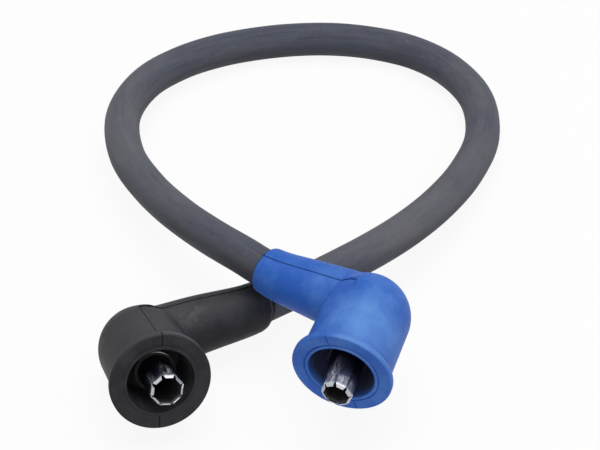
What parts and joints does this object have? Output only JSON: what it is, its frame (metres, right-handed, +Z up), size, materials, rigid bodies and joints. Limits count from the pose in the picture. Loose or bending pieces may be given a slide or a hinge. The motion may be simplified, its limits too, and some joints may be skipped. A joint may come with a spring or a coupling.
{
  "type": "ignition coil wire",
  "caption": "High-tension ignition lead lying in a loop, with a right-angle moulded rubber boot and a petal snap terminal on each end, one boot black and one blue.",
  "frame": {"origin": "centre of the lead's footprint, on the surface that it lies on", "axes": "+Y from the two boots towards the far end of the loop, +X across the loop, +Z up"},
  "size_m": [0.0908, 0.1316, 0.0299],
  "materials": {
    "cable_jacket": "matte",
    "conductor_core": "satin",
    "black_boot": "matte",
    "blue_boot": "matte",
    "terminal": "bright plated"
  },
  "bodies": {
    "root": {"cable_jacket": "cable_jacket", "conductor_core": "conductor_core", "black_boot": "black_boot", "blue_boot": "blue_boot", "black_terminal": "terminal", "blue_terminal": "terminal"}
  },
  "joints": []
}
